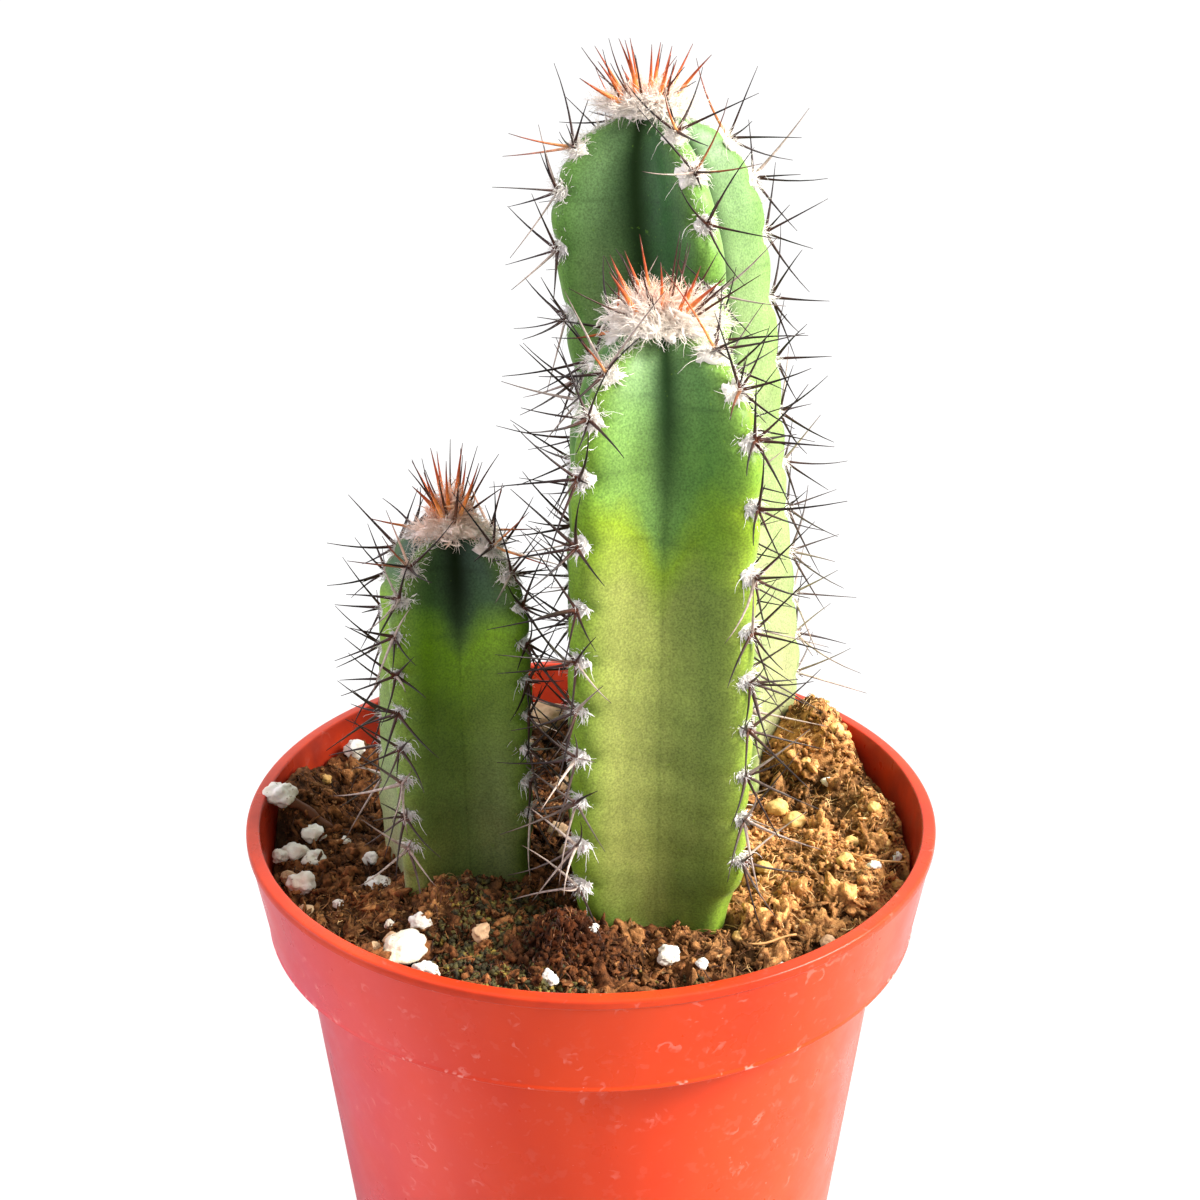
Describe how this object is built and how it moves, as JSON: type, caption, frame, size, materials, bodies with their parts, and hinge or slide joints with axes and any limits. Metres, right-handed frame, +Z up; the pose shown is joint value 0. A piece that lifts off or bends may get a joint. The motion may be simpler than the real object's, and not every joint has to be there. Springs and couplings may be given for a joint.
{
  "type": "potted columnar cactus",
  "caption": "Ribbed upright cactus stems with spined woolly areoles, rooted in gritty soil in a round tapered plastic nursery pot.",
  "frame": {"origin": "middle of the pot's flat underside", "axes": "+Z up, along the pot's axis and the stems; -Y towards the side that the tallest stem stands behind"},
  "size_m": [0.12, 0.1219, 0.2309],
  "materials": {
    "pot": "satin terracotta coloured plastic",
    "soil": "rough peat and coir with grit",
    "stem_blue_green": "waxy satin skin",
    "stem_yellow_green": "waxy satin skin",
    "stem_dark_green": "waxy satin skin",
    "crown": "matt wool with young spines"
  },
  "bodies": {
    "root": {"pot": "pot", "soil": "soil", "tall_stem": "stem_blue_green", "front_stem": "stem_yellow_green", "small_stem": "stem_dark_green", "tall_crown": "crown", "front_crown": "crown", "small_crown": "crown"}
  },
  "joints": []
}
